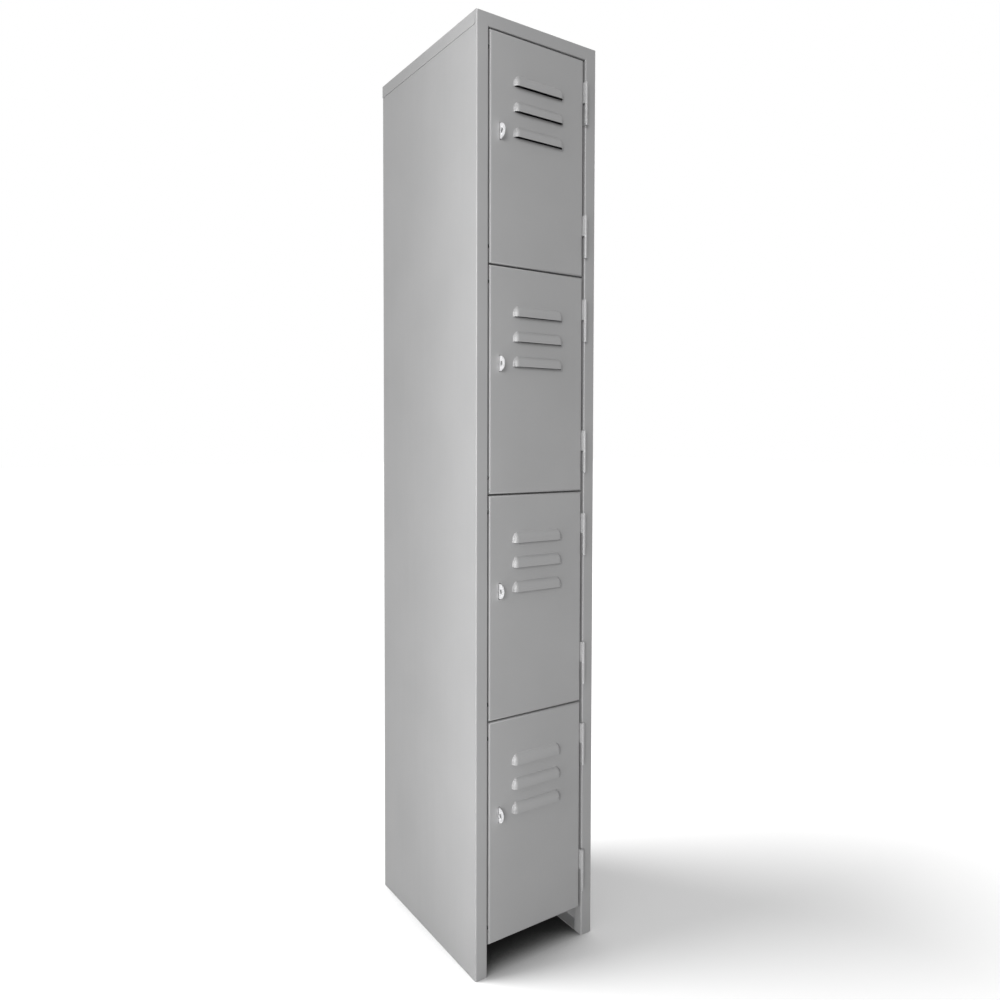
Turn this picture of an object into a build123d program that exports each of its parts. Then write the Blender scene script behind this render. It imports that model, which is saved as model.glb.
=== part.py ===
from build123d import *
from math import acos, degrees, sqrt
import os

# Locker cabinet of folded sheet steel: one column of inset doors. Millimetres, +Z up.
# While modelling, the face of the doors and stiles lies at y = 0, mid-width at x = 0 and the floor at z = 0.

# Carcass
cabinet_width = 300.0
cabinet_depth = 440.0
cabinet_height = 1950.0
sheet = 1.0
bend_radius = 2.5
frame_face = 27.5
frame_return = 26.0
frame_lip = 14.0
rear_flange = 15.0
foot_flange = 27.5
foot_fold = 5.0
bend_relief = 1.0
cap_skirt = 28.0
cap_setback = 6.0

# Doors and the gaps round them
door_count = 4
base_height = 66.5
door_gap = 3.0
latch_gap = 3.5
hinge_gap = 6.0
door_depth = 18.0
door_lip = 12.0
door_sheet = 1.0
door_bend = 4.0

# Shelves
shelf_lap = 12.0
shelf_front = 25.0
shelf_return = 12.0
shelf_flange = 20.0
stop_gap = 1.0
notch_gap = 0.5

# Louvres, hoods pressed out of the door above a cut
louvre_count = 3
louvre_width = 122.0
louvre_height = 22.0
louvre_depth = 9.5
louvre_shoulder = 6.0
louvre_drop = 99.0
louvre_pitch = 51.0

# Padlock staples, which come through a slot in each door
staple_height = 31.0
staple_sheet = 2.0
staple_bend = 4.0
staple_reach = 17.0
staple_inset = 24.5
staple_drop = 196.0
eye_bore = 10.0
eye_reach = 5.5
slot_gap = 1.5
rivet_diameter = 4.0
rivet_head = 8.0
rivet_dome = 1.8
rivet_tail = 6.5
rivet_tail_height = 1.2
rivet_pitch = 17.0

# Lift-off hinges
knuckle_diameter = 7.0
pin_diameter = 4.0
pin_head_height = 2.0
pin_tip = 1.2
hinge_length = 91.0
hinge_top_margin = 47.0
hinge_foot_margin = 39.5
leaf_sheet = 1.5
leaf_depth = 14.0
leaf_set = 0.2
axis_reach = 6.5
washer_height = 1.0
washer_play = 0.1
running_gap = 0.05

# Rubber buffers plugged into the latch flange of each door
buffer_diameter = 9.5
buffer_dome = 2.0
buffer_neck = 5.6
buffer_bulb = 7.4
buffer_bulb_depth = 3.0
buffer_depth = 7.6
buffer_margin = 33.5
buffer_fit = 0.05

# Planes and places worked out from the sizes above
left = -cabinet_width / 2
right = cabinet_width / 2
stile_left = left + frame_face
stile_right = right - frame_face
door_left = stile_left + latch_gap
door_right = stile_right - hinge_gap
door_width = door_right - door_left
door_middle = (door_left + door_right) / 2
door_pitch = (cabinet_height - frame_face - base_height) / door_count
door_height = door_pitch - door_gap
door_feet = [base_height + door_pitch * step for step in reversed(range(door_count))]
back_face = cabinet_depth - sheet
panel_face = back_face - sheet
tab_right = door_left + staple_inset + staple_sheet / 2
lip_middle = stile_left - (frame_lip + bend_radius) / 2
knuckle_radius = knuckle_diameter / 2
bore_radius = pin_diameter / 2 + running_gap
axis_x = door_right + leaf_set + knuckle_radius
front_shift = (staple_reach - cabinet_depth - sheet) / 2


def folded(points, radius, thickness):
    # Outline of a sheet folded along the points; it turns right at every fold and its body lies to the right
    skin = [Vector(*point) for point in points]
    runs = [(end - start).normalized() for start, end in zip(skin, skin[1:])]
    inward = [Vector(run.Y, -run.X) for run in runs]
    core = [skin[0] + inward[0] * thickness]
    for corner, before, after in zip(skin[1:-1], inward, inward[1:]):
        core.append(corner + (before + after) * thickness)
    core.append(skin[-1] + inward[-1] * thickness)
    outside = FilletPolyline(*skin, radius=radius)
    inside = FilletPolyline(*core, radius=radius - thickness)
    ends = [Line(skin[0], core[0]), Line(skin[-1], core[-1])]
    return make_face(outside.edges() + inside.edges() + ends)


def along_x(section, start, end):
    # A section drawn in (y, z), extruded from x = start to x = end
    return extrude(Plane.YZ.offset(start) * section, end - start)


def along_y(section, start, end):
    # A section drawn in (x, z), extruded from y = start to y = end
    return extrude(Plane.XZ.offset(-end) * section, end - start)


def along_z(section, start, end):
    # A section drawn in (x, y), extruded from z = start to z = end
    return extrude(Plane.XY.offset(start) * section, end - start)


def block(low, high):
    # A box between two opposite corners
    size = [top - bottom for bottom, top in zip(low, high)]
    return Pos(*low) * Box(*size, align=Align.MIN)


def rod(start, length, radius, direction):
    # A round bar from a point along a direction
    return extrude(Plane(origin=start, z_dir=direction) * Circle(radius), length)


def dome_arc(radius, base, height):
    # Arc of a round cap on a turned piece, from its rim at this base up to the axis
    ball = (radius ** 2 + height ** 2) / (2 * height)
    rim = degrees(acos(radius / ball))
    return CenterArc((0, base + height - ball), ball, rim, 90 - rim)


def mitre_wedge():
    # Everything above the mitre that runs from the outer top corner of the left stile to its inner corner
    run = cabinet_width
    corner = Polyline((left - run, cabinet_height + run), (left + run, cabinet_height - run),
                      (left + run, cabinet_height + run), close=True)
    return along_y(make_face(corner), -run, frame_return + notch_gap)


def side_panel():
    # Left side: wall, front stile with return and lip, rear flange, and the foot flange folded in on the floor
    plan = [(stile_left - frame_lip, frame_return), (stile_left, frame_return), (stile_left, 0), (left, 0),
            (left, cabinet_depth), (left + rear_flange, cabinet_depth)]
    panel = along_z(folded(plan, bend_radius, sheet), 0, cabinet_height)
    panel -= mitre_wedge()
    panel -= block((left - sheet, cap_setback, cabinet_height - bend_radius),
                   (left + rear_flange + sheet, cabinet_depth + sheet, cabinet_height + sheet))
    foot_start = frame_return + bend_relief
    foot_end = panel_face - bend_relief
    panel -= block((left - sheet, foot_start - bend_relief, -sheet),
                   (left + bend_radius, foot_end + bend_relief, foot_fold))
    foot = [(left + foot_flange, 0), (left, 0), (left, foot_fold)]
    return panel + along_y(folded(foot, bend_radius, sheet), foot_start, foot_end)


def top_cap():
    # Tray over the top: the front fold is the rail above the doors, the other folds are a skirt outside the sides
    rail_foot = cabinet_height - frame_face
    skirt_foot = cabinet_height - cap_skirt
    skirt_left = left - sheet
    skirt_right = right + sheet
    back_end = cabinet_depth + sheet
    rail = [(frame_return, rail_foot + frame_lip), (frame_return, rail_foot), (0, rail_foot),
            (0, cabinet_height), (cap_setback, cabinet_height)]
    skirt = [(skirt_left, skirt_foot), (skirt_left, cabinet_height), (skirt_right, cabinet_height),
             (skirt_right, skirt_foot)]
    tail = [(back_end - 2 * bend_radius, cabinet_height), (back_end, cabinet_height), (back_end, skirt_foot)]
    front = along_x(folded(rail, bend_radius, sheet), left, right)
    wedge = mitre_wedge()
    half = block((left, -sheet, rail_foot - sheet), (0, frame_return + notch_gap, cabinet_height + sheet))
    left_half = front & half & wedge
    front = left_half + mirror(left_half, about=Plane.YZ)
    top = along_y(folded(skirt, bend_radius, sheet), cap_setback, back_end - bend_radius)
    back = along_x(folded(tail, bend_radius, sheet), skirt_left + bend_radius, skirt_right - bend_radius)
    return front + top + back


def back_panel():
    # Plain sheet in front of the rear flanges, from the floor to the cap
    edge = bend_radius + notch_gap
    return block((left + edge, panel_face, 0), (right - edge, back_face, cabinet_height - bend_radius))


def shelf(top):
    # Tray welded between the sides; its front flange lies behind the edges of the doors and stops them
    start = door_depth + stop_gap
    notch = frame_return + notch_gap
    wall_left = left + sheet
    wall_right = right - sheet
    front = [(start + shelf_return, top - shelf_front), (start, top - shelf_front), (start, top), (notch, top)]
    plate = [(wall_left, top - shelf_flange), (wall_left, top), (wall_right, top),
             (wall_right, top - shelf_flange)]
    back = [(panel_face - 2 * bend_radius, top), (panel_face, top), (panel_face, top - shelf_flange)]
    tray = along_x(folded(front, bend_radius, sheet), stile_left + notch_gap, stile_right - notch_gap)
    tray += along_y(folded(plate, bend_radius, sheet), notch, panel_face - bend_radius)
    return tray + along_x(folded(back, bend_radius, sheet), wall_left + bend_radius, wall_right - bend_radius)


def hood_section(inset):
    # Half outline of a louvre hood: a straight lip, then an arc that closes on the door face
    crown = (louvre_depth ** 2 + (louvre_height - louvre_shoulder) ** 2) / (2 * louvre_depth)
    centre = louvre_depth - crown
    reach = louvre_depth - inset
    sweep = degrees(acos(-centre / (crown - inset)))
    tip = louvre_shoulder + sqrt((crown - inset) ** 2 - centre ** 2)
    arc = CenterArc((centre, louvre_shoulder), crown - inset, 0, sweep)
    sides = [Line((0, tip), (0, 0)), Line((0, 0), (reach, 0)), Line((reach, 0), (reach, louvre_shoulder))]
    return make_face([arc] + sides)


def hood(inset):
    # Solid under the louvre's skin: the section run along the louvre and turned through a right angle at each end
    section = hood_section(inset)
    straight = louvre_width / 2 - louvre_depth
    run = extrude(Plane(origin=(straight, 0, 0), x_dir=(0, -1, 0), z_dir=(-1, 0, 0)) * section, 2 * straight)
    corner = Plane(origin=(-straight, 0, 0), x_dir=(-1, 0, 0), z_dir=(0, 1, 0)) * section
    end = revolve(corner, Axis((-straight, 0, 0), (0, 0, 1)), 90)
    return run + end + mirror(end, about=Plane.YZ)


def hood_cut():
    # The hole that the hood leaves in the door face, through the sheet
    section = hood_section(door_sheet)
    straight = louvre_width / 2 - louvre_depth
    side = along_y(Pos(straight, 0) * section, 0, door_sheet)
    tip = section.bounding_box().max.Y
    return side + mirror(side, about=Plane.YZ) + block((-straight, 0, 0), (straight, door_sheet, tip))


def door_panel():
    # Pan with its lower edge at z = 0: face, four flanges, a lip round the back, louvres, slot and buffer holes
    pan = block((door_left, 0, 0), (door_right, door_depth, door_height))
    pan = fillet(pan.faces().sort_by(Axis.Y)[0].edges(), door_bend)
    cavity = block((door_left + door_sheet, door_sheet, door_sheet),
                   (door_right - door_sheet, door_depth - door_sheet, door_height - door_sheet))
    cavity = fillet(cavity.faces().sort_by(Axis.Y)[0].edges(), door_bend - door_sheet)
    mouth = block((door_left + door_lip, door_depth - 2 * door_sheet, door_lip),
                  (door_right - door_lip, door_depth + door_sheet, door_height - door_lip))
    pan -= cavity + mouth
    slot = RectangleRounded(staple_sheet + 2 * slot_gap, staple_height + 2 * slot_gap, slot_gap)
    slot_place = Pos(door_left + staple_inset, door_height - staple_drop)
    pan -= along_y(slot_place * slot, -door_sheet, 2 * door_sheet)
    pan -= [buffer_hole(place) for place in buffer_places(0)]
    louvre = hood(0) - hood(door_sheet)
    cut = hood_cut()
    for row in range(louvre_count):
        place = Pos(door_middle, 0, door_height - louvre_drop - row * louvre_pitch)
        pan -= place * cut
        pan += place * louvre
    return pan


def staple():
    # Strip riveted behind the stile's lip and folded forward through the door; its eye is at z = 0
    plan = [(stile_left - frame_lip, frame_return + staple_sheet), (tab_right, frame_return + staple_sheet),
            (tab_right, -staple_reach)]
    tip_radius = staple_height / 2
    tip_centre = tip_radius - staple_reach
    strip = along_z(folded(plan, staple_bend, staple_sheet), -tip_radius, tip_radius)
    ends = block((left, -staple_reach - sheet, -staple_height), (right, tip_centre, staple_height))
    ends -= rod((left, tip_centre, 0), cabinet_width, tip_radius, (1, 0, 0))
    strip -= ends
    strip -= rod((tab_right - 2 * staple_sheet, -eye_reach, 0), 4 * staple_sheet, eye_bore / 2, (1, 0, 0))
    return strip - rivet_holes(0)


def rivet_places(level):
    # Middles of the two rivets of a staple whose eye is at this level, on the front of the stile's lip
    return [(lip_middle, frame_return - sheet, level + side * rivet_pitch / 2) for side in (-1, 1)]


def rivet_holes(level):
    # Holes through the stile's lip and the staple's strip
    radius = rivet_diameter / 2 + running_gap
    return [rod(place, sheet + staple_sheet, radius, (0, 1, 0)) for place in rivet_places(level)]


def rivet(place):
    # Turned shape: flat tail in front of the lip, shank, domed head behind the strip
    grip = sheet + staple_sheet
    shank = rivet_diameter / 2
    head = rivet_head / 2
    profile = Polyline((0, -rivet_tail_height), (rivet_tail / 2, -rivet_tail_height), (rivet_tail / 2, 0),
                       (shank, 0), (shank, grip), (head, grip))
    spine = Line((0, grip + rivet_dome), (0, -rivet_tail_height))
    section = make_face([profile, dome_arc(head, grip, rivet_dome), spine])
    upright = revolve(Plane.XZ * section, Axis.Z, 360)
    return Pos(*place) * Rot(-90, 0, 0) * upright


def half_length():
    # Length of one knuckle: what the pin's head, the washer and its play leave of the hinge, halved
    return (hinge_length - pin_head_height - washer_height - washer_play) / 2


def hinge_feet(door_foot):
    # Lower ends of a door's two hinges
    return [door_foot + hinge_foot_margin, door_foot + door_height - hinge_top_margin - hinge_length]


def knuckle(foot, leaf_left, leaf_front):
    # One half of a hinge: a bored knuckle on the axis and a leaf that runs back beside the door
    barrel = rod((axis_x, -axis_reach, foot), half_length(), knuckle_radius, (0, 0, 1))
    leaf = block((leaf_left, leaf_front, foot), (leaf_left + leaf_sheet, leaf_depth, foot + half_length()))
    bore = rod((axis_x, -axis_reach, foot), half_length(), bore_radius, (0, 0, 1))
    return barrel + leaf - bore


def stile_knuckle(foot):
    # Lower half, its leaf welded to the stile's return
    return knuckle(foot + pin_head_height, stile_right - leaf_sheet, -axis_reach)


def door_knuckle(foot):
    # Upper half, its leaf welded to the door's flange
    return knuckle(foot + hinge_length - half_length(), door_right, -axis_reach)


def hinge_pin(foot):
    # Headed pin with a round tip that stands out of the upper knuckle
    shank = pin_diameter / 2
    tip_start = hinge_length + pin_tip - shank
    profile = Polyline((0, 0), (knuckle_radius, 0), (knuckle_radius, pin_head_height),
                       (shank, pin_head_height), (shank, tip_start))
    tip = CenterArc((0, tip_start), shank, 0, 90)
    spine = Line((0, tip_start + shank), (0, 0))
    section = make_face([profile, tip, spine])
    return Pos(axis_x, -axis_reach, foot) * revolve(Plane.XZ * section, Axis.Z, 360)


def hinge_washer(foot):
    # Flat ring on top of the lower knuckle
    seat = (axis_x, -axis_reach, foot + pin_head_height + half_length())
    return rod(seat, washer_height, knuckle_radius, (0, 0, 1)) - rod(seat, washer_height, bore_radius, (0, 0, 1))


def buffer_places(door_foot):
    # Middles of a door's two buffers on the outer face of its latch flange
    levels = [door_foot + buffer_margin, door_foot + door_height - buffer_margin]
    return [(door_left, buffer_depth, level) for level in levels]


def buffer(place):
    # Turned plug: a bulb inside the flange, a neck in the hole, a domed head in the gap
    neck = buffer_neck / 2
    bulb = buffer_bulb / 2
    head = buffer_diameter / 2
    behind = door_sheet + buffer_bulb_depth
    profile = Polyline((0, -behind), (neck, -behind), (bulb, -door_sheet), (neck, -door_sheet), (neck, 0),
                       (head, 0))
    spine = Line((0, buffer_dome), (0, -behind))
    section = make_face([profile, dome_arc(head, 0, buffer_dome), spine])
    return Pos(*place) * Rot(0, -90, 0) * revolve(Plane.XZ * section, Axis.Z, 360)


def buffer_hole(place):
    # Hole in the door's flange for a buffer's neck
    return rod(place, door_sheet, buffer_neck / 2 + buffer_fit, (1, 0, 0))


def save(name, *solids):
    # Move the pieces of a node into the cabinet's own frame and write them
    moved = [Pos(0, front_shift, 0) * solid for piece in solids for solid in piece.solids()]
    shape = moved[0] if len(moved) == 1 else Compound(children=moved)
    export_step(shape, f"parts/{name}.step")


os.makedirs("parts", exist_ok=True)
blank = side_panel()
eye_levels = [foot + door_height - staple_drop for foot in door_feet]
left_panel = blank
for level in eye_levels:
    left_panel -= rivet_holes(level)
save("side_panel_left", left_panel)
save("side_panel_right", mirror(blank, about=Plane.YZ))
save("top_cap", top_cap())
save("back_panel", back_panel())

pan = door_panel()
strip = staple()
tiers = ["bottom_shelf" if tier == door_count else f"shelf_{tier}" for tier in range(1, door_count + 1)]
for number, (tier, foot, level) in enumerate(zip(tiers, door_feet, eye_levels), start=1):
    feet = hinge_feet(foot)
    save(tier, shelf(foot + shelf_lap))
    save(f"door_{number}_panel", Pos(0, 0, foot) * pan)
    save(f"door_{number}_hinge_leaves", *[door_knuckle(place) for place in feet])
    save(f"stile_hinge_leaves_{number}", *[stile_knuckle(place) for place in feet])
    save(f"hinge_pins_{number}", *[hinge_pin(place) for place in feet])
    save(f"hinge_washers_{number}", *[hinge_washer(place) for place in feet])
    save(f"door_buffers_{number}", *[buffer(place) for place in buffer_places(foot)])
    save(f"padlock_staple_{number}", Pos(0, 0, level) * strip)
    save(f"staple_rivets_{number}", *[rivet(place) for place in rivet_places(level)])

print("doors", door_count, "each", door_width, "x", door_height, "at", door_feet)
print("hinge axis", axis_x, front_shift - axis_reach, "front face at y", front_shift)
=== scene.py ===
import math

import bmesh
import bpy
from mathutils import Euler, Matrix, Vector


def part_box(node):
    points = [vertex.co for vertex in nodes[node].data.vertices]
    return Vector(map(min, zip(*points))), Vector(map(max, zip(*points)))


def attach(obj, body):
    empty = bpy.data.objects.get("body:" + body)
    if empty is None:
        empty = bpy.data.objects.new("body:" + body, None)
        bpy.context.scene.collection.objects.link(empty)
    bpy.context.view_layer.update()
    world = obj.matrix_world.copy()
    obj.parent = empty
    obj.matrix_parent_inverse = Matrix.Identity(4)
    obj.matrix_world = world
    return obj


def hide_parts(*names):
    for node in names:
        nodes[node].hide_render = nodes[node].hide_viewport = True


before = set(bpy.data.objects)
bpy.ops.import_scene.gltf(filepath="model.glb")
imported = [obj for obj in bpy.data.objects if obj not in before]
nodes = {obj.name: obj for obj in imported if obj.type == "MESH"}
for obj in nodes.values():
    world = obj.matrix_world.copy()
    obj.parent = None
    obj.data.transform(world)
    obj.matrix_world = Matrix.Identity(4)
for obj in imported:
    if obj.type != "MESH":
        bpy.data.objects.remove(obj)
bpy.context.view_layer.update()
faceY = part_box("side_panel_left")[0].y      # plane of the doors and stiles
doorCount = 4
doorNumbers = range(1, doorCount + 1)
print("frame loaded:", len(nodes), "nodes")

# Material helpers


def newMaterial(name):
    material = bpy.data.materials.new(name)
    material.use_nodes = True
    tree = material.node_tree
    tree.nodes.clear()
    output = tree.nodes.new("ShaderNodeOutputMaterial")
    shader = tree.nodes.new("ShaderNodeBsdfPrincipled")
    tree.links.new(shader.outputs["BSDF"], output.inputs["Surface"])
    return material, tree, shader


def addNode(tree, kind, values=None, **settings):
    node = tree.nodes.new(kind)
    for key, value in settings.items():
        setattr(node, key, value)
    for key, value in (values or {}).items():
        node.inputs[key].default_value = value
    return node


def noiseOn(tree, coords, scale, detail=2.0, rough=0.5, stretch=(1.0, 1.0, 1.0)):
    mapping = addNode(tree, "ShaderNodeMapping", {"Scale": stretch})
    tree.links.new(coords.outputs["Object"], mapping.inputs["Vector"])
    noise = addNode(tree, "ShaderNodeTexNoise", {"Scale": scale, "Detail": detail, "Roughness": rough})
    tree.links.new(mapping.outputs["Vector"], noise.inputs["Vector"])
    return noise.outputs["Fac"]


def spread(tree, source, low, high, fromLow=0.3, fromHigh=0.7):
    remap = addNode(tree, "ShaderNodeMapRange",
                    {"From Min": fromLow, "From Max": fromHigh, "To Min": low, "To Max": high})
    tree.links.new(source, remap.inputs["Value"])
    return remap.outputs["Result"]


def mixed(tree, operation, first, second):
    node = addNode(tree, "ShaderNodeMath", operation=operation)
    tree.links.new(first, node.inputs[0])
    tree.links.new(second, node.inputs[1])
    return node.outputs["Value"]


def tinted(tree, factor, dark, light):
    ramp = addNode(tree, "ShaderNodeValToRGB")
    ramp.color_ramp.elements[0].color = (*dark, 1.0)
    ramp.color_ramp.elements[1].color = (*light, 1.0)
    tree.links.new(factor, ramp.inputs["Fac"])
    return ramp.outputs["Color"]


def bumped(tree, shader, height, strength, distance):
    bump = addNode(tree, "ShaderNodeBump", {"Strength": strength, "Distance": distance})
    tree.links.new(height, bump.inputs["Height"])
    tree.links.new(bump.outputs["Normal"], shader.inputs["Normal"])


# Grey powder coat on all the folded sheet
paint = {
    "dark": (0.380, 0.380, 0.382),
    "light": (0.420, 0.420, 0.422),
    "driftScale": 5.0,          # slow change of tone, per metre
    "driftDetail": 4.0,
    "speckScale": 900.0,        # fine mottle of the powder
    "speckShare": 0.35,
    "fineDetail": 1.0,          # for the mottle and the peel
    "wipeScale": 60.0,          # faint upright wiping marks in the gloss
    "wipeDetail": 3.0,
    "wipeStretch": (1.0, 1.0, 0.05),
    "peelScale": 700.0,         # orange peel
    "peelDepth": 0.00006,
    "peelStrength": 0.25,
    "gloss": (0.40, 0.50),
    "wipeGloss": (-0.03, 0.03),
}


def greyPaint():
    material, tree, shader = newMaterial("greyPaint")
    coords = addNode(tree, "ShaderNodeTexCoord")
    drift = noiseOn(tree, coords, paint["driftScale"], detail=paint["driftDetail"])
    speck = noiseOn(tree, coords, paint["speckScale"], detail=paint["fineDetail"])
    tone = mixed(tree, "ADD", spread(tree, drift, 0.0, 1.0 - paint["speckShare"]),
                 spread(tree, speck, 0.0, paint["speckShare"]))
    tree.links.new(tinted(tree, tone, paint["dark"], paint["light"]), shader.inputs["Base Color"])
    peel = noiseOn(tree, coords, paint["peelScale"], detail=paint["fineDetail"])
    wipe = noiseOn(tree, coords, paint["wipeScale"], detail=paint["wipeDetail"], stretch=paint["wipeStretch"])
    gloss = mixed(tree, "ADD", spread(tree, peel, *paint["gloss"]), spread(tree, wipe, *paint["wipeGloss"]))
    tree.links.new(gloss, shader.inputs["Roughness"])
    bumped(tree, shader, peel, paint["peelStrength"], paint["peelDepth"])
    return material


# Bright zinc on staples and rivets, duller zinc on pins and washers
brightZinc = {
    "dark": (0.72, 0.72, 0.73),
    "light": (0.88, 0.88, 0.89),
    "metallic": 0.3,
    "grainScale": 450.0,
    "rough": (0.32, 0.46),
    "bump": 0.15,
    "bumpDepth": 0.00005,
}
dullZinc = {
    "dark": (0.36, 0.36, 0.37),
    "light": (0.46, 0.46, 0.47),
    "metallic": 0.6,
    "grainScale": 450.0,
    "rough": (0.40, 0.52),
    "bump": 0.15,
    "bumpDepth": 0.00005,
}
# Matt rubber of the buffers
rubber = {
    "dark": (0.012, 0.012, 0.013),
    "light": (0.028, 0.028, 0.029),
    "metallic": 0.0,
    "grainScale": 1400.0,
    "rough": (0.62, 0.80),
    "bump": 0.2,
    "bumpDepth": 0.00005,
}


def grained(name, look, detail=3.0):
    material, tree, shader = newMaterial(name)
    shader.inputs["Metallic"].default_value = look["metallic"]
    grain = noiseOn(tree, addNode(tree, "ShaderNodeTexCoord"), look["grainScale"], detail=detail)
    tone = spread(tree, grain, 0.0, 1.0)
    tree.links.new(tinted(tree, tone, look["dark"], look["light"]), shader.inputs["Base Color"])
    tree.links.new(spread(tree, grain, *look["rough"]), shader.inputs["Roughness"])
    bumped(tree, shader, grain, look["bump"], look["bumpDepth"])
    return material


greyCoat = greyPaint()
stapleZinc = grained("stapleZinc", brightZinc)
pinZinc = grained("pinZinc", dullZinc)
blackRubber = grained("blackRubber", rubber)
finishes = {
    "padlock_staple": stapleZinc,
    "staple_rivets": stapleZinc,
    "hinge_pins": pinZinc,
    "hinge_washers": pinZinc,
    "door_buffers": blackRubber,
}


def finishOf(nodeName):
    for start, finish in finishes.items():
        if nodeName.startswith(start):
            return finish
    return greyCoat


for nodeName, node in nodes.items():
    node.data.materials.clear()
    node.data.materials.append(finishOf(nodeName))
print("finishes on", len(nodes), "nodes")

# Geometry node helpers
vectorInputs = ("First", "Turn")


def newTree(name, labels):
    tree = bpy.data.node_groups.new(name, "GeometryNodeTree")
    tree.interface.new_socket("Geometry", in_out="INPUT", socket_type="NodeSocketGeometry")
    for label in labels:
        kind = "NodeSocketInt" if label.startswith("Count") else "NodeSocketFloat"
        if label in vectorInputs:
            kind = "NodeSocketVector"
        tree.interface.new_socket(label, in_out="INPUT", socket_type=kind)
    tree.interface.new_socket("Finish", in_out="INPUT", socket_type="NodeSocketMaterial")
    tree.interface.new_socket("Geometry", in_out="OUTPUT", socket_type="NodeSocketGeometry")
    return tree, tree.nodes.new("NodeGroupInput"), tree.nodes.new("NodeGroupOutput")


def wire(tree, kind, feeds, **settings):
    node = tree.nodes.new(kind)
    for key, value in settings.items():
        setattr(node, key, value)
    for key, feed in feeds.items():
        if isinstance(feed, bpy.types.NodeSocket):
            tree.links.new(feed, node.inputs[key])
        else:
            node.inputs[key].default_value = feed
    return node


def calc(tree, operation, *terms):
    return wire(tree, "ShaderNodeMath", dict(enumerate(terms)), operation=operation).outputs[0]


def share(tree, value, start, length):
    # how far a count has gone from its start along this length, held between 0 and 1
    past = calc(tree, "DIVIDE", calc(tree, "SUBTRACT", value, start), length)
    return wire(tree, "ShaderNodeClamp", {"Value": past}).outputs[0]


def rowOfCopies(tree, size, piece):
    # copies of a piece on an upright line
    step = wire(tree, "ShaderNodeCombineXYZ", {"Z": size["Gap"]})
    line = wire(tree, "GeometryNodeMeshLine", {"Count": size["Count"], "Start Location": size["First"],
                                               "Offset": step.outputs[0]})
    copies = wire(tree, "GeometryNodeInstanceOnPoints", {"Points": line.outputs[0], "Instance": piece,
                                                         "Rotation": size["Turn"]})
    return copies.outputs[0]


def finished(tree, size, geometry, end, mergeWithin):
    # copies made real, with their seams closed and their finish on
    real = wire(tree, "GeometryNodeRealizeInstances", {0: geometry})
    merged = wire(tree, "GeometryNodeMergeByDistance",
                  {"Geometry": real.outputs[0], "Distance": mergeWithin})
    coated = wire(tree, "GeometryNodeSetMaterial",
                  {"Geometry": merged.outputs[0], "Material": size["Finish"]})
    tree.links.new(coated.outputs[0], end.inputs[0])


def growWith(piece, tree, numbers, finish):
    modifier = piece.modifiers.new(tree.name, "NODES")
    modifier.node_group = tree
    values = {**numbers, "Finish": finish}
    for socket in tree.interface.items_tree:
        if socket.in_out == "INPUT" and socket.name in values:
            modifier[socket.identifier] = values[socket.name]


def plainMesh(piece):
    # the modifiers' result becomes the piece's own mesh
    depsgraph = bpy.context.evaluated_depsgraph_get()
    result = bpy.data.meshes.new_from_object(piece.evaluated_get(depsgraph))
    piece.modifiers.clear()
    piece.data = result
    result.name = piece.name
    return result


def settle(piece, sharpAngle=40.0, outward=False):
    result = plainMesh(piece)
    if outward:
        work = bmesh.new()
        work.from_mesh(result)
        bmesh.ops.recalc_face_normals(work, faces=work.faces)
        work.to_mesh(result)
        work.free()
    result.shade_smooth()
    result.set_sharp_from_angle(angle=math.radians(sharpAngle))
    # large faces set the shading of the small ones beside them
    piece.modifiers.new("flats", "WEIGHTED_NORMAL").keep_sharp = True
    plainMesh(piece)


def newPiece(name, mesh):
    piece = bpy.data.objects.new(name, mesh)
    bpy.context.scene.collection.objects.link(piece)
    return piece


def standIn(piece, nodeName, body):
    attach(piece, body)
    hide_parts(nodeName)


# Door pans: one folded sheet with its louvres pressed out
door = {
    "depth": 0.018,
    "sheet": 0.001,
    "bend": 0.004,
    "bendSteps": 8,
    "rearBend": 0.0018,
    "lip": 0.012,
    "slotInset": 0.0245,
    "slotDrop": 0.196,
    "slotSize": (0.005, 0.034),
    "slotRound": 0.0015,
    "slotSteps": 5,
    "weld": 0.00001,            # reach of the merge between pan and louvres
}
louvre = {
    "Width": 0.122,
    "Height": 0.022,
    "Depth": 0.0095,
    "Shoulder": 0.006,
    "Foot": 0.002,              # hollow radius where the hood leaves the face
    "Drop": 0.099,
    "Pitch": 0.051,
    "Count": 3,
    "Count Arc": 12,
    "Count Turn": 8,
    "Count Foot": 4,
}
hoodSlope = louvre["Height"] - louvre["Shoulder"]
hood = {
    "Crown": (louvre["Depth"] ** 2 + hoodSlope ** 2) / (2 * louvre["Depth"]),
    "Straight": louvre["Width"] / 2 - louvre["Depth"],
}
hood["Sweep"] = math.acos(1 - louvre["Depth"] / (hood["Crown"] + louvre["Foot"]))


def rectangle(left, right, foot, top, inset, depth):
    return [(left + inset, depth, foot + inset), (right - inset, depth, foot + inset),
            (right - inset, depth, top - inset), (left + inset, depth, top - inset)]


def panLoops(front):
    # inset and depth of each loop: round the front bend, along the flange, round the rear bend, to the lip
    bend, rear = door["bend"], door["rearBend"]
    back = front + door["depth"]
    turns = [math.radians(90.0 * step / door["bendSteps"]) for step in range(door["bendSteps"] + 1)]
    loops = [(bend * (1 - math.sin(turn)), front + bend * (1 - math.cos(turn))) for turn in turns]
    loops += [(rear * (1 - math.cos(turn)), back - rear * (1 - math.sin(turn))) for turn in turns]
    return loops + [(door["lip"], back)]


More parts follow.
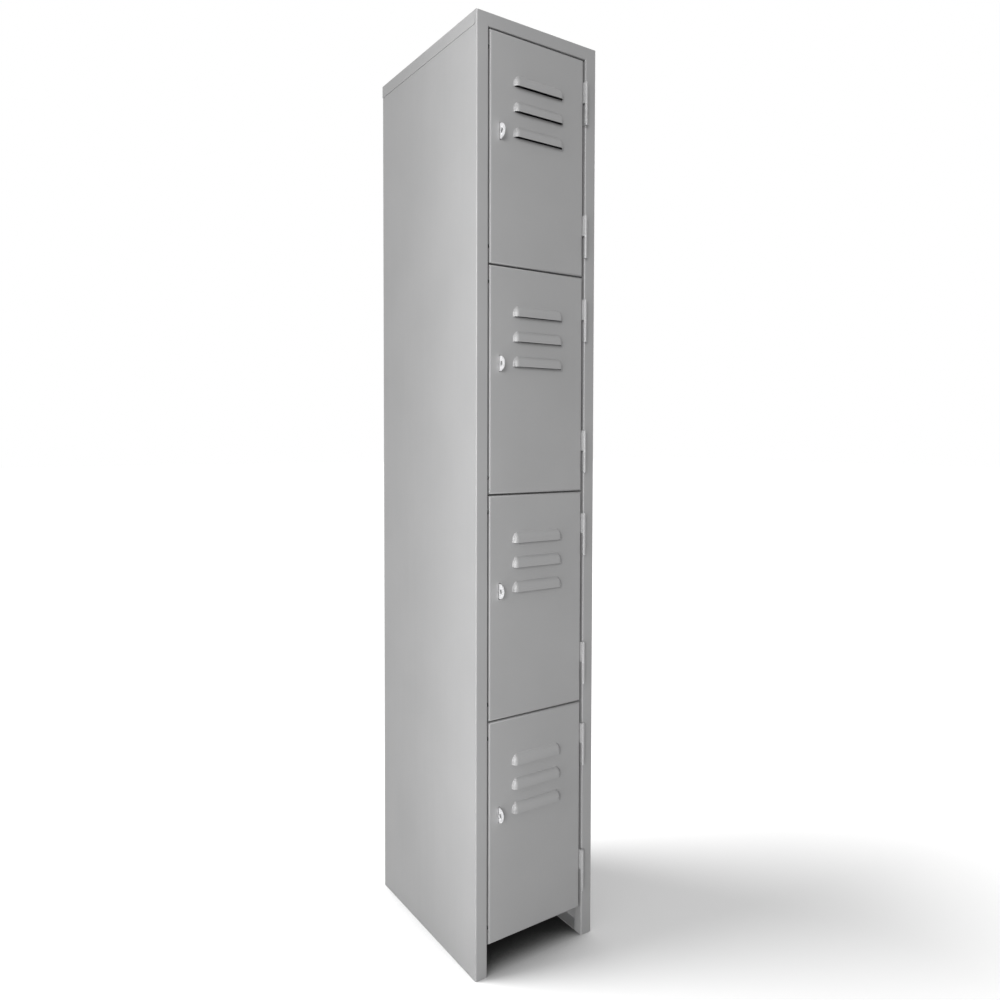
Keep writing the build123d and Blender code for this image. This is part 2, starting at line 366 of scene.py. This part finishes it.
def hoodRows():
    # reach off the face and level of each row of a hood, from its lip to the top
    crown, sweep, foot = hood["Crown"], hood["Sweep"], louvre["Foot"]
    arcRows, footRows = louvre["Count Arc"], louvre["Count Foot"]
    rows = []
    for row in range(arcRows + footRows + 2):
        turn = sweep * min(max(row - 1, 0) / arcRows, 1)
        fade = sweep * (1 - max(row - 1 - arcRows, 0) / footRows)
        reach = louvre["Depth"] - crown * (1 - math.cos(turn)) - foot * (math.cos(fade) - math.cos(sweep))
        level = louvre["Shoulder"] * min(row, 1) + crown * math.sin(turn)
        rows.append((max(reach, 0.0), level - foot * (math.sin(fade) - math.sin(sweep))))
    return rows


def louvreHole(middle, lipLevel, front):
    # the hood's own foot line, closed by the straight cut under the lip
    spans = [(hood["Straight"] + math.sqrt(reach * (reach + 2 * louvre["Foot"])), lipLevel + level)
             for reach, level in hoodRows()]
    leftSide = [(middle - span, front, level) for span, level in spans]
    rightSide = [(middle + span, front, level) for span, level in reversed(spans)]
    return leftSide + rightSide


def slotHole(middle, level, front):
    halfWide, halfTall = (size / 2 for size in door["slotSize"])
    radius, steps = door["slotRound"], door["slotSteps"]
    points = []
    for quarter, (sideX, sideZ) in enumerate([(1, 1), (-1, 1), (-1, -1), (1, -1)]):
        for step in range(steps):
            turn = math.radians(90.0 * (quarter + step / (steps - 1)))
            points.append((middle + sideX * (halfWide - radius) + radius * math.cos(turn), front,
                           level + sideZ * (halfTall - radius) + radius * math.sin(turn)))
    return points


def panSkin(name, low, high):
    work = bmesh.new()
    rings = [[work.verts.new(point) for point in rectangle(low.x, high.x, low.z, high.z, inset, depth)]
             for inset, depth in panLoops(faceY)]
    for ring, after in zip(rings, rings[1:]):
        for corner in range(len(ring)):
            following = (corner + 1) % len(ring)
            work.faces.new((ring[corner], after[corner], after[following], ring[following]))
    middle = (low.x + high.x) / 2
    outlines = [rings[0]]
    for row in range(louvre["Count"]):
        lipLevel = high.z - louvre["Drop"] - row * louvre["Pitch"]
        outlines.append([work.verts.new(point) for point in louvreHole(middle, lipLevel, faceY)])
    slot = slotHole(low.x + door["slotInset"], high.z - door["slotDrop"], faceY)
    outlines.append([work.verts.new(point) for point in slot])
    edges = []
    for outline in outlines:
        for start, end in zip(outline, outline[1:] + outline[:1]):
            edges.append(work.edges.get((start, end)) or work.edges.new((start, end)))
    bmesh.ops.triangle_fill(work, use_beauty=True, use_dissolve=False, edges=edges, normal=(0, -1, 0))
    bmesh.ops.recalc_face_normals(work, faces=work.faces)
    flat = next(face for face in work.faces
                if all(abs(vert.co.y - faceY) < door["weld"] for vert in face.verts))
    if flat.normal.y > 0:
        bmesh.ops.reverse_faces(work, faces=work.faces)
    mesh = bpy.data.meshes.new(name)
    work.to_mesh(mesh)
    work.free()
    return mesh


def louvreTree():
    labels = ["Depth", "Shoulder", "Foot", "Crown", "Straight", "Sweep", "Gap", "First", "Turn",
              "Count", "Count Arc", "Count Turn", "Count Foot"]
    tree, start, end = newTree("pressedLouvres", labels)
    size = start.outputs
    crown, sweep, foot = size["Crown"], size["Sweep"], size["Foot"]

    def do(operation, *terms):
        return calc(tree, operation, *terms)

    # a grid of one unit, whose columns and rows are counted from the middle and from the lip
    lastRow = do("ADD", do("ADD", size["Count Arc"], size["Count Foot"]), 1.0)
    lastColumn = do("MULTIPLY_ADD", do("ADD", size["Count Turn"], size["Count Foot"]), 2.0, 1.0)
    grid = wire(tree, "GeometryNodeMeshGrid", {"Size X": 1.0, "Size Y": 1.0,
                                               "Vertices X": do("ADD", lastColumn, 1.0),
                                               "Vertices Y": do("ADD", lastRow, 1.0)})
    place = wire(tree, "ShaderNodeSeparateXYZ", {0: tree.nodes.new("GeometryNodeInputPosition").outputs[0]})
    row = do("MULTIPLY", do("ADD", place.outputs["Y"], 0.5), lastRow)
    column = do("MULTIPLY", place.outputs["X"], lastColumn)
    along = do("SUBTRACT", do("ABSOLUTE", column), 0.5)
    # upright section: straight lip, arc, hollow foot
    turn = do("MULTIPLY", sweep, share(tree, row, 1.0, size["Count Arc"]))
    footStart = do("ADD", size["Count Arc"], 1.0)
    fade = do("MULTIPLY", sweep, do("SUBTRACT", 1.0, share(tree, row, footStart, size["Count Foot"])))
    drop = do("MULTIPLY", crown, do("SUBTRACT", 1.0, do("COSINE", turn)))
    hollow = do("MULTIPLY", foot, do("SUBTRACT", do("COSINE", fade), do("COSINE", sweep)))
    reach = do("MAXIMUM", do("SUBTRACT", do("SUBTRACT", size["Depth"], drop), hollow), 0.0)
    lipRise = do("MULTIPLY", size["Shoulder"], do("MINIMUM", row, 1.0))
    rise = do("MULTIPLY_ADD", crown, do("SINE", turn), lipRise)
    settled = do("MULTIPLY", foot, do("SUBTRACT", do("SINE", fade), do("SINE", sweep)))
    level = do("SUBTRACT", rise, settled)
    # level section: straight run, then a quarter turn that flares into the face
    flareStart = do("ARCSINE", do("DIVIDE", foot, do("ADD", reach, foot)))
    quarter = do("SUBTRACT", math.pi / 2, flareStart)
    around = do("MULTIPLY", quarter, share(tree, along, 0.0, size["Count Turn"]))
    flareShare = share(tree, along, size["Count Turn"], size["Count Foot"])
    flare = do("MULTIPLY_ADD", quarter, flareShare, flareStart)
    flareOut = do("MULTIPLY", foot, do("SUBTRACT", do("COSINE", flareStart), do("COSINE", flare)))
    flareBack = do("MULTIPLY", foot, do("SUBTRACT", do("SINE", flare), do("SINE", flareStart)))
    span = do("ADD", do("MULTIPLY_ADD", reach, do("SINE", around), size["Straight"]), flareOut)
    depth = do("SUBTRACT", flareBack, do("MULTIPLY", reach, do("COSINE", around)))
    pressed = wire(tree, "ShaderNodeCombineXYZ",
                   {"X": do("MULTIPLY", do("SIGN", column), span), "Y": depth, "Z": level})
    patch = wire(tree, "GeometryNodeSetPosition",
                 {"Geometry": grid.outputs["Mesh"], "Position": pressed.outputs[0]})
    joined = tree.nodes.new("GeometryNodeJoinGeometry")
    tree.links.new(rowOfCopies(tree, size, patch.outputs[0]), joined.inputs[0])
    tree.links.new(size["Geometry"], joined.inputs[0])
    finished(tree, size, joined.outputs[0], end, door["weld"])
    return tree


pressedLouvres = louvreTree()
for number in doorNumbers:
    panNode = f"door_{number}_panel"
    low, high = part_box(panNode)
    pan = newPiece(f"door_{number}_pan", panSkin(f"door_{number}_pan", low, high))
    firstLip = ((low.x + high.x) / 2, faceY, high.z - louvre["Drop"])
    growWith(pan, pressedLouvres, {**louvre, **hood, "First": firstLip, "Gap": -louvre["Pitch"]}, greyCoat)
    wall = pan.modifiers.new("sheet", "SOLIDIFY")
    wall.thickness = door["sheet"]
    wall.offset = -1.0
    wall.use_even_offset = True
    settle(pan)
    standIn(pan, panNode, f"door_{number}")
    print("door", number, "pressed:", len(pan.data.polygons), "faces")

# Turned pieces: an outline of radius, height and corner rounding, spun and set in pairs
turning = {
    "Count": 2,
    "Count Sides": 32,
    "Count Round": 3,
    "weld": 0.000001,
}
pin = {"head": 0.0035, "headHigh": 0.002, "shank": 0.002, "length": 0.0922, "ease": 0.0004}
washer = {"bore": 0.00205, "rim": 0.0035, "high": 0.001, "ease": 0.00015}
rivet = {"tail": 0.00325, "tailHigh": 0.0012, "shank": 0.002, "grip": 0.003, "head": 0.004, "dome": 0.0018,
         "ease": 0.0004}
buffer = {"neck": 0.0028, "bulb": 0.0037, "bulbDeep": 0.003, "head": 0.00475, "dome": 0.002, "sheet": 0.001,
          "ease": 0.0003}


def domePoints(radius, base, height, steps=8):
    # round cap from its rim up to the axis
    ball = (radius ** 2 + height ** 2) / (2 * height)
    rim = math.acos(radius / ball)
    turns = [rim + (math.pi / 2 - rim) * step / steps for step in range(1, steps)]
    points = [(ball * math.cos(turn), base + height - ball * (1 - math.sin(turn)), 0.0) for turn in turns]
    return points + [(0.0, base + height, 0.0)]


def pinOutline():
    head, shank, ease = pin["head"], pin["shank"], pin["ease"]
    return [(0, 0, 0), (head, 0, ease), (head, pin["headHigh"], ease), (shank, pin["headHigh"], 0),
            (shank, pin["length"], shank), (0, pin["length"], 0)]


def washerOutline():
    bore, rim, high, ease = washer["bore"], washer["rim"], washer["high"], washer["ease"]
    return [(bore, high / 2, 0), (bore, 0, ease), (rim, 0, ease), (rim, high, ease), (bore, high, ease),
            (bore, high / 2, 0)]


def rivetOutline():
    tail, shank, head = rivet["tail"], rivet["shank"], rivet["head"]
    behind, grip = -rivet["tailHigh"], rivet["grip"]
    return [(0, behind, 0), (tail, behind, rivet["ease"]), (tail, 0, 0), (shank, 0, 0), (shank, grip, 0),
            (head, grip, 0)] + domePoints(head, grip, rivet["dome"])


def bufferOutline():
    neck, bulb, head, ease = buffer["neck"], buffer["bulb"], buffer["head"], buffer["ease"]
    inside = -buffer["sheet"]
    behind = inside - buffer["bulbDeep"]
    return [(0, behind, 0), (neck, behind, ease), (bulb, inside, ease), (neck, inside, 0), (neck, 0, 0),
            (head, 0, 0)] + domePoints(head, 0.0, buffer["dome"])


def outlineMesh(name, outline):
    mesh = bpy.data.meshes.new(name)
    mesh.from_pydata([(radius, 0, height) for radius, height, ease in outline],
                     [(place, place + 1) for place in range(len(outline) - 1)], [])
    easing = mesh.attributes.new("ease", "FLOAT", "POINT")
    for place, (radius, height, ease) in enumerate(outline):
        easing.data[place].value = ease
    return mesh


def turnedTree():
    labels = ["Gap", "First", "Turn", "Count", "Count Sides", "Count Round"]
    tree, start, end = newTree("turnedPieces", labels)
    size = start.outputs
    outline = wire(tree, "GeometryNodeMeshToCurve", {"Mesh": size["Geometry"]})
    ease = wire(tree, "GeometryNodeInputNamedAttribute", {"Name": "ease"}, data_type="FLOAT")
    eased = wire(tree, "GeometryNodeFilletCurve",
                 {"Curve": outline.outputs[0], "Count": size["Count Round"],
                  "Radius": ease.outputs["Attribute"], "Limit Radius": True}, mode="POLY")
    edge = wire(tree, "GeometryNodeCurveToMesh", {"Curve": eased.outputs[0]})
    length = wire(tree, "GeometryNodeAttributeDomainSize", {"Geometry": edge.outputs[0]}, component="MESH")
    points = length.outputs["Point Count"]
    # a grid of one unit, rolled up so that its rows follow the outline
    grid = wire(tree, "GeometryNodeMeshGrid", {"Size X": 1.0, "Size Y": 1.0, "Vertices Y": points,
                                               "Vertices X": calc(tree, "ADD", size["Count Sides"], 1.0)})
    position = tree.nodes.new("GeometryNodeInputPosition").outputs[0]
    place = wire(tree, "ShaderNodeSeparateXYZ", {0: position})
    lastRow = calc(tree, "SUBTRACT", points, 1.0)
    row = calc(tree, "ROUND", calc(tree, "MULTIPLY", calc(tree, "ADD", place.outputs["Y"], 0.5), lastRow))
    onEdge = wire(tree, "GeometryNodeSampleIndex",
                  {"Geometry": edge.outputs[0], "Value": position, "Index": row},
                  data_type="FLOAT_VECTOR", domain="POINT")
    section = wire(tree, "ShaderNodeSeparateXYZ", {0: onEdge.outputs["Value"]})
    angle = calc(tree, "MULTIPLY", calc(tree, "ADD", place.outputs["X"], 0.5), math.tau)
    spun = wire(tree, "ShaderNodeCombineXYZ", {
        "X": calc(tree, "MULTIPLY", section.outputs["X"], calc(tree, "COSINE", angle)),
        "Y": calc(tree, "MULTIPLY", section.outputs["X"], calc(tree, "SINE", angle)),
        "Z": section.outputs["Z"]})
    body = wire(tree, "GeometryNodeSetPosition",
                {"Geometry": grid.outputs["Mesh"], "Position": spun.outputs[0]})
    finished(tree, size, rowOfCopies(tree, size, body.outputs[0]), end, turning["weld"])
    return tree


turnedPieces = turnedTree()


def turnPair(nodeName, outline, first, gap, turn, body):
    piece = newPiece(f"{nodeName}_turned", outlineMesh(nodeName, outline))
    growWith(piece, turnedPieces, {**turning, "First": first, "Gap": gap, "Turn": turn}, finishOf(nodeName))
    settle(piece, outward=True)
    standIn(piece, nodeName, body)


for number in doorNumbers:
    low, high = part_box(f"hinge_pins_{number}")
    axis = ((low.x + high.x) / 2, (low.y + high.y) / 2, low.z)
    turnPair(f"hinge_pins_{number}", pinOutline(), axis, high.z - low.z - pin["length"], (0, 0, 0),
             "cabinet")
    low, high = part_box(f"hinge_washers_{number}")
    turnPair(f"hinge_washers_{number}", washerOutline(), (axis[0], axis[1], low.z),
             high.z - low.z - washer["high"], (0, 0, 0), "cabinet")
    low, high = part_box(f"staple_rivets_{number}")
    lowRivet = ((low.x + high.x) / 2, low.y + rivet["tailHigh"], low.z + rivet["head"])
    turnPair(f"staple_rivets_{number}", rivetOutline(), lowRivet, high.z - low.z - 2 * rivet["head"],
             (-math.pi / 2, 0, 0), "cabinet")
    low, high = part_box(f"door_buffers_{number}")
    lowBuffer = (low.x + buffer["dome"], (low.y + high.y) / 2, low.z + buffer["head"])
    turnPair(f"door_buffers_{number}", bufferOutline(), lowBuffer, high.z - low.z - 2 * buffer["head"],
             (0, -math.pi / 2, 0), f"door_{number}")
print("turned pieces set")

# Staples and hinge leaves: the solids with their edges broken
easing = {
    "width": 0.0003,
    "segments": 2,
    "angle": 40.0,              # folds sharper than this are eased
    "flat": 1.0,                # facets flatter than this are made one face
    "weld": 0.000005,
    "sharpAngle": 60.0,
}


def easedCopy(nodeName, body):
    work = bmesh.new()
    work.from_mesh(nodes[nodeName].data)
    bmesh.ops.remove_doubles(work, verts=work.verts, dist=easing["weld"])
    bmesh.ops.dissolve_limit(work, angle_limit=math.radians(easing["flat"]), verts=work.verts,
                             edges=work.edges)
    mesh = bpy.data.meshes.new(nodeName)
    work.to_mesh(mesh)
    work.free()
    if "custom_normal" in mesh.attributes:
        mesh.attributes.remove(mesh.attributes["custom_normal"])
    mesh.materials.clear()
    mesh.materials.append(finishOf(nodeName))
    piece = newPiece(f"{nodeName}_eased", mesh)
    bevel = piece.modifiers.new("brokenEdges", "BEVEL")
    bevel.width = easing["width"]
    bevel.segments = easing["segments"]
    bevel.limit_method = "ANGLE"
    bevel.angle_limit = math.radians(easing["angle"])
    settle(piece, sharpAngle=easing["sharpAngle"])
    standIn(piece, nodeName, body)


for number in doorNumbers:
    easedCopy(f"padlock_staple_{number}", "cabinet")
    easedCopy(f"stile_hinge_leaves_{number}", "cabinet")
    easedCopy(f"door_{number}_hinge_leaves", f"door_{number}")
print("staples and leaves eased")

# Studio: a white floor with its own sun and sky, which give the shadow, a painted shade on the floor under
# the base, and soft light on the cabinet, mainly from the left
studio = {
    "floorColour": 0.30,        # for light that goes back to the cabinet
    "floorSeen": 1.0,           # for the camera and mirrors
    "paintedShade": 0.3,             # reach of the painted shade under the base
    "paintedShadeSamples": 16,
    # darkest level of the painted shade, and the occlusion range over which it fades out
    "paintedShadeDarkest": 0.10,
    "paintedShadeFrom": 0.18,
    "paintedShadeTo": 0.60,
    "floorHalf": 30.0,
    "ambient": 0.22,
}
suns = {
    "floorSun": {"from": (-0.4636, 0.3127, 0.8290), "strength": 2.35, "angle": 26.0, "lights": "floor"},
    "floorSky": {"from": (0.0, 0.0, 1.0), "strength": 1.25, "angle": 180.0, "lights": "floor"},
    "backSun": {"from": (-0.4636, 0.3127, 0.8290), "strength": 0.30, "angle": 26.0, "lights": "cabinet"},
    "leftKey": {"from": (-0.66, -0.69, 0.28), "strength": 1.40, "angle": 25.0, "lights": "cabinet"},
    "rearFill": {"from": (0.75, 0.60, 0.30), "strength": 1.6, "angle": 60.0, "lights": "cabinet"},
}
softboxes = {
    "leftStrip": {"place": (-0.75, -0.62, 0.98), "target": (-0.13, -0.2, 0.98), "power": 0.8,
                  "size": (0.25, 2.1), "matt": True},
    "sideStrip": {"place": (-0.45, -0.29, 1.10), "target": (-0.15, -0.16, 1.10), "power": 2.7,
                  "size": (0.15, 2.2), "matt": True},
    # shows in reflections only, for the bright bends
    "leftCard": {"place": (-2.30, -1.10, 1.10), "target": (0.0, -0.2, 1.0), "power": 90.0,
                 "size": (1.6, 3.2), "matt": False},
}


def seenDirectly(tree):
    path = addNode(tree, "ShaderNodeLightPath")
    mirrored = mixed(tree, "MAXIMUM", path.outputs["Is Glossy Ray"], path.outputs["Is Transmission Ray"])
    return mixed(tree, "MAXIMUM", path.outputs["Is Camera Ray"], mirrored)


def studioFloor():
    half = studio["floorHalf"]
    mesh = bpy.data.meshes.new("studioFloor")
    corners = [(-half, -half, 0), (half, -half, 0), (half, half, 0), (-half, half, 0)]
    mesh.from_pydata(corners, [], [(0, 1, 2, 3)])
    floor = newPiece("studioFloor", mesh)
    material, tree, shader = newMaterial("studioFloor")
    shader.inputs["Roughness"].default_value = 1.0
    shader.inputs["Specular IOR Level"].default_value = 0.0
    # painted shade: occlusion darkens the floor's colour where the base stands close over it
    paintedShade = addNode(tree, "ShaderNodeAmbientOcclusion", {"Distance": studio["paintedShade"]},
                      samples=studio["paintedShadeSamples"])
    fade = spread(tree, paintedShade.outputs["AO"], studio["paintedShadeDarkest"], 1.0, studio["paintedShadeFrom"],
                  studio["paintedShadeTo"])
    tone = spread(tree, seenDirectly(tree), studio["floorColour"], studio["floorSeen"], 0.0, 1.0)
    tree.links.new(mixed(tree, "MULTIPLY", tone, fade), shader.inputs["Base Color"])
    mesh.materials.append(material)
    return floor


def studioWorld():
    world = bpy.data.worlds.new("studioWorld")
    world.use_nodes = True
    tree = world.node_tree
    background = tree.nodes["Background"]
    background.inputs["Color"].default_value = (1.0, 1.0, 1.0, 1.0)
    level = spread(tree, seenDirectly(tree), studio["ambient"], 1.0, 0.0, 1.0)
    tree.links.new(level, background.inputs["Strength"])
    bpy.context.scene.world = world


def addLamp(name, kind, place, target, **settings):
    data = bpy.data.lights.new(name, kind)
    for key, value in settings.items():
        setattr(data, key, value)
    lamp = bpy.data.objects.new(name, data)
    bpy.context.scene.collection.objects.link(lamp)
    lamp.location = place
    lamp.rotation_euler = (Vector(target) - Vector(place)).to_track_quat("-Z", "Y").to_euler()
    lamp.visible_camera = False
    return lamp


def lightGroup(name, floor, state):
    group = bpy.data.collections.new(name)
    group.objects.link(floor)
    group.collection_objects[0].light_linking.link_state = state
    return group


floor = studioFloor()
studioWorld()
receivers = {
    "floor": lightGroup("floorOnly", floor, "INCLUDE"),
    "cabinet": lightGroup("offFloor", floor, "EXCLUDE"),
}
for sunName, sun in suns.items():
    lamp = addLamp(sunName, "SUN", Vector(sun["from"]), (0, 0, 0), energy=sun["strength"],
                   angle=math.radians(sun["angle"]))
    lamp.light_linking.receiver_collection = receivers[sun["lights"]]
for boxName, box in softboxes.items():
    lamp = addLamp(boxName, "AREA", box["place"], box["target"], energy=box["power"], shape="RECTANGLE",
                   size=box["size"][0], size_y=box["size"][1])
    lamp.visible_diffuse = box["matt"]
    lamp.light_linking.receiver_collection = receivers["cabinet"]
print("studio lit")

# Camera fitted to the photograph's edges
shot = {
    "place": (-0.97387, -1.38429, 1.11129),     # the middle number is from the face of the doors
    "yaw": 35.2773,             # degrees, from +Y towards +X
    "pitch": -1.8964,
    "roll": 0.2134,
    "focal": 0.80637,           # in image widths
    "shift": (-0.03992, -0.03654),
    "sensor": 36.0,
}


def studioCamera():
    data = bpy.data.cameras.new("studioCamera")
    data.sensor_width = shot["sensor"]
    data.lens = shot["sensor"] * shot["focal"]
    data.shift_x, data.shift_y = shot["shift"]
    camera = bpy.data.objects.new("studioCamera", data)
    bpy.context.scene.collection.objects.link(camera)
    aim = Euler((math.radians(90.0 + shot["pitch"]), 0.0, -math.radians(shot["yaw"]))).to_matrix()
    turn = Matrix.Rotation(math.radians(shot["roll"]), 3, "Z")
    camera.rotation_euler = (aim @ turn).to_euler()
    camera.location = Vector(shot["place"]) + Vector((0.0, faceY, 0.0))
    bpy.context.scene.camera = camera


studioCamera()
bpy.context.scene.view_settings.view_transform = "Standard"
print("camera set")
